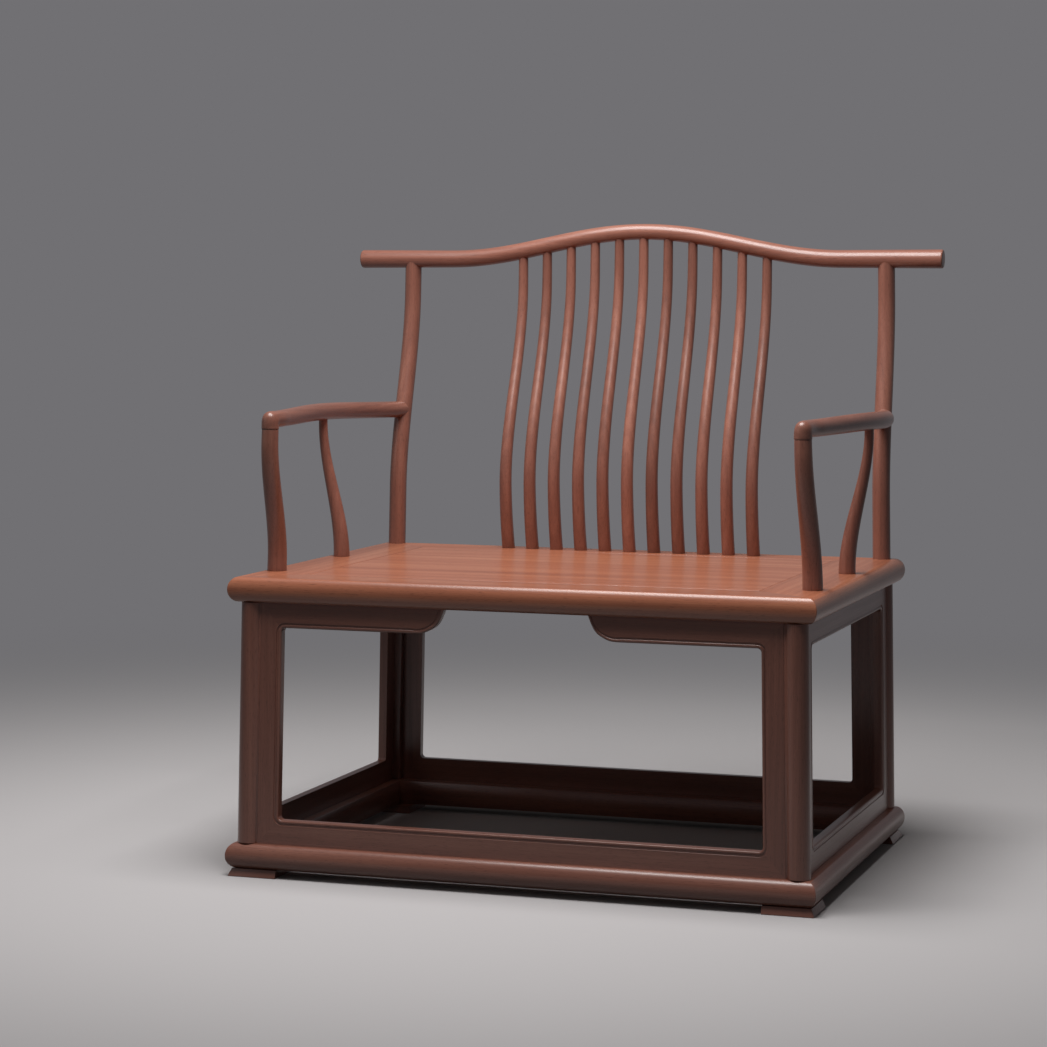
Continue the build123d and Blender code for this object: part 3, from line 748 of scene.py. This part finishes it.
def liningFrame(axis, g=legs, m=lining):
    # corners of the opening and of the whole frame in its own leaning plane, and how that is placed
    across = "Y" if axis == "X" else "X"
    halfSpan, legPlace = g[axis.lower()], g[across.lower()]
    splay, lean = g["splay" + axis], g["splay" + across]

    def corners(low, high, inset):
        x0, x1 = (halfSpan - g["radius"] - splay * h / legHeight - m["joint"] - inset
                  for h in (low, high))
        return np.array([[-x0, low], [x0, low], [x1, high], [-x1, high]])

    inward, upward = np.array([lean, legHeight]) / np.hypot(lean, legHeight)       # along the plane

    def place(flat, out):
        up = flat[:, 1]
        reach = legPlace - (up * inward - out * upward)
        z = base["top"] + up * upward + out * inward
        return columns(flat[:, 0], -reach, z) if axis == "X" else columns(reach, flat[:, 0], z)

    return corners(m["bottom"], legHeight - m["top"], m["width"]), corners(0, legHeight, 0), place


def liningBoards(axis):
    opening, outer, place = liningFrame(axis)
    return {name: mouldedBoard(*boardEdge(opening, i), outer[[i, (i + 1) % 4]], place)
            for i, name in enumerate(("bottom", "right", "top", "left"))}


def apronHalf(a=apron, m=lining):
    # right half of the front apron: from the rounded corner along a straight run to the curled end
    opening, outer, place = liningFrame("X")
    edge, rays = boardEdge(opening, 2)
    curl = smoothLine(a["curl"])
    straight = np.linspace(edge[cornerPoints - 1], curl[0], a["straightPoints"] + 2)[1:-1]
    line = np.concatenate([edge[:cornerPoints], straight, curl])
    order = np.arange(len(line))

    ahead = np.gradient(line, axis=0)
    normal = unit(np.stack([ahead[:, 1], -ahead[:, 0]], axis=1))
    padded = np.pad(normal, ((a["averaged"] // 2,) * 2, (0, 0)), mode="edge")
    window = np.ones(a["averaged"]) / a["averaged"]
    normal = unit(np.stack([np.convolve(part, window, mode="valid") for part in padded.T], axis=1))
    normal[:cornerPoints] = rays[:cornerPoints]
    level = np.clip(order - len(line) + a["levelled"] + 1, 0, a["levelled"])[:, None] / a["levelled"]
    normal = normal * (1 - level) + np.array([1.0, 0.0]) * level       # the tip ends square to the seat

    first, last = a["narrowing"]
    share = 1 - (1 - a["beadOnCurl"]) * np.clip((order - first) / (last - first), 0, 1)
    corner, end = outer[2], line[-1][0] + m["bead"] + m["groove"] + a["margin"]
    top = np.array([corner, [(corner[0] + end) / 2, legHeight], [end, legHeight]])
    return mouldedBoard(line, normal, top, place, share)


longBoards, sideBoards, halfApron = liningBoards("X"), liningBoards("Y"), apronHalf()
placed = [
    ("frontBottomStrip", longBoards["bottom"], 1, 1, "X", "front_bottom_strip"),
    ("frontStripRight", longBoards["right"], 1, 1, "Z", "front_right_strip"),
    ("frontStripLeft", longBoards["left"], 1, 1, "Z", "front_left_strip"),
    ("frontApronRight", halfApron, 1, 1, "X", "front_apron_right"),
    ("frontApronLeft", halfApron, -1, 1, "X", "front_apron_left"),
    ("rearBottomStrip", longBoards["bottom"], 1, -1, "X", "rear_bottom_strip"),
    ("rearStripRight", longBoards["right"], 1, -1, "Z", "rear_right_strip"),
    ("rearStripLeft", longBoards["left"], 1, -1, "Z", "rear_left_strip"),
    ("rearApron", longBoards["top"], 1, -1, "X", "rear_apron"),
    ("rightBottomStrip", sideBoards["bottom"], 1, 1, "Y", "right_bottom_strip"),
    ("rightStripRear", sideBoards["right"], 1, 1, "Z", "right_rear_strip"),
    ("rightStripFront", sideBoards["left"], 1, 1, "Z", "right_front_strip"),
    ("rightApron", sideBoards["top"], 1, 1, "Y", "right_apron"),
    ("leftBottomStrip", sideBoards["bottom"], -1, 1, "Y", "left_bottom_strip"),
    ("leftStripRear", sideBoards["right"], -1, 1, "Z", "left_rear_strip"),
    ("leftStripFront", sideBoards["left"], -1, 1, "Z", "left_front_strip"),
    ("leftApron", sideBoards["top"], -1, 1, "Y", "left_apron"),
]
for name, shape, x, y, axis, node in placed:
    addPiece(name, mirrored(shape, x, y), nextWood(name, axis, lining["tone"]), node)
print("lining boards made")

foot = {
    "length": 76.0,
    "edgeInset": 2.5,          # how far its outer sides stand in from the base frame's edge at the floor
    "flare": 5.0,              # how much further in they are at the top
    "soften": 0.8,
    "cornerRound": 2.0,
    "tone": 0.88,
}


def padFoot(f=foot):
    # rows up the pad: the two outer sides draw in evenly from the floor to the base frame
    height = base["top"] - base["thickness"]
    z = np.array([0, f["soften"], height / 2, height])
    inset = np.array([f["soften"], 0, 0, 0])
    flare = f["edgeInset"] + f["flare"] * z / height
    x0, y0 = ((base[half] - f["length"] + inset)[:, None] for half in ("halfWidth", "halfDepth"))
    x1, y1 = ((base[half] - flare - inset)[:, None] for half in ("halfWidth", "halfDepth"))
    cornerX, cornerY = (arc(0, pi / 2, cornerPoints).T - 1) * f["cornerRound"]
    return closedRings(columns(np.concatenate([x0, x1, x1 + cornerX, x0], axis=1),
                               np.concatenate([y0, y0, y1 + cornerY, y1], axis=1), z[:, None]))


for end, y in (("Rear", 1), ("Front", -1)):
    for side, x in sides:
        addPiece("foot" + end + side, mirrored(padFoot(), x, y),
                 nextWood("foot " + end + side, "X", foot["tone"]), f"foot_{end.lower()}_{side.lower()}")
print("feet made")


def dress(node, material):
    # the panel and its battens keep their CAD shape and get only a material
    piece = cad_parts[node]
    piece.data.materials.clear()
    piece.data.materials.append(material)


# the panel takes the lighter seat wood too, with its painted light of the lit top
dress("seat_panel", nextWood("panel", "X", 1.0, seatWoodToneAndPaintedLight))
dress("seat_batten_left", nextWood("batten left", "Y", 0.9))
dress("seat_batten_right", nextWood("batten right", "Y", 0.9))
print("panel and battens dressed")

studio = {
    "floor": "#CBC7C7",        # as the camera sees it
    "floorBounce": "#3A3836",  # as it lights the chair
    "backdrop": "#717073",
    "fadeStart": 0.8,          # metres from the chair where the floor starts to turn into the backdrop
    "fadeEnd": 3.2,
    "floorReach": 40.0,
    "fill": 0.045,
    "keyPower": 51.0,
    "keySize": 1.25,
    "keyPlace": (-0.06, -0.48, 2.2),
    "keyTarget": (0.0, -0.1, 0.4),
    "sidePower": 3.3,
    "sideSize": 1.6,
    "sidePlace": (-2.6, -2.0, 1.7),
    "sideTarget": (0.0, 0.0, 0.6),
}


def sweepFloor(s=studio):
    # Seamless paper, matt. Its colour slides to the backdrop's with distance from the chair, and the
    # light that it throws back is that of a darker sheet.
    material = bpy.data.materials.new("seamless paper")
    material.use_nodes = True
    tree = material.node_tree
    tree.nodes.clear()
    rays = addNode(tree, "ShaderNodeLightPath", {})
    seen = addNode(tree, "ShaderNodeMath", {
        0: rays.outputs["Is Camera Ray"], 1: rays.outputs["Is Glossy Ray"]}, operation="MAXIMUM")
    tint = addNode(tree, "ShaderNodeMix", {
        0: seen.outputs[0], 6: colour(s["floorBounce"]), 7: colour(s["floor"])}, data_type="RGBA")
    paper = addNode(tree, "ShaderNodeBsdfDiffuse", {"Color": tint.outputs[2], "Roughness": 0.5})
    far = addNode(tree, "ShaderNodeEmission", {"Color": colour(s["backdrop"]), "Strength": 1.0})
    place = addNode(tree, "ShaderNodeTexCoord", {}).outputs["Object"]
    distance = addNode(tree, "ShaderNodeVectorMath", {0: place}, operation="LENGTH")
    fade = addNode(tree, "ShaderNodeMapRange", {
        "Value": distance.outputs["Value"], "From Min": s["fadeStart"], "From Max": s["fadeEnd"]},
        interpolation_type="SMOOTHSTEP")
    amount = addNode(tree, "ShaderNodeMath", {
        0: fade.outputs[0], 1: seen.outputs[0]}, operation="MULTIPLY")
    mix = addNode(tree, "ShaderNodeMixShader", {
        0: amount.outputs[0], 1: paper.outputs[0], 2: far.outputs[0]})
    addNode(tree, "ShaderNodeOutputMaterial", {"Surface": mix.outputs[0]})
    reach = s["floorReach"]
    mesh = bpy.data.meshes.new("floor")
    mesh.from_pydata([(-reach, -reach, 0), (reach, -reach, 0), (reach, reach, 0), (-reach, reach, 0)], [],
                     [(0, 1, 2, 3)])
    mesh.materials.append(material)
    floor = bpy.data.objects.new("floor", mesh)
    bpy.context.scene.collection.objects.link(floor)


def softBox(name, place, target, size, power):
    data = bpy.data.lights.new(name, "AREA")
    data.shape, data.size, data.energy = "SQUARE", size, power
    box = bpy.data.objects.new(name, data)
    bpy.context.scene.collection.objects.link(box)
    box.location = place
    box.rotation_euler = (Vector(target) - Vector(place)).to_track_quat("-Z", "Y").to_euler()


def paleWorld(s=studio):
    # soft fill on the object, and the backdrop's colour wherever the world itself is seen or mirrored
    world = bpy.data.worlds.new("studio")
    world.use_nodes = True
    tree = world.node_tree
    tree.nodes.clear()
    rays = addNode(tree, "ShaderNodeLightPath", {})
    direct = addNode(tree, "ShaderNodeMath", {
        0: rays.outputs["Is Camera Ray"], 1: rays.outputs["Is Glossy Ray"]}, operation="MAXIMUM")
    seen = addNode(tree, "ShaderNodeMath", {
        0: direct.outputs[0], 1: rays.outputs["Is Transmission Ray"]}, operation="MAXIMUM")
    fill = addNode(tree, "ShaderNodeBackground", {"Color": (1, 1, 1, 1), "Strength": s["fill"]})
    back = addNode(tree, "ShaderNodeBackground", {"Color": colour(s["backdrop"]), "Strength": 1.0})
    mix = addNode(tree, "ShaderNodeMixShader", {
        0: seen.outputs[0], 1: fill.outputs[0], 2: back.outputs[0]})
    addNode(tree, "ShaderNodeOutputWorld", {"Surface": mix.outputs[0]})
    bpy.context.scene.world = world


sweepFloor()
paleWorld()
for light in ("key", "side"):
    softBox(light + "Light", studio[light + "Place"], studio[light + "Target"],
            studio[light + "Size"], studio[light + "Power"])
bpy.context.scene.view_settings.view_transform = "Standard"
print("floor and lights set")
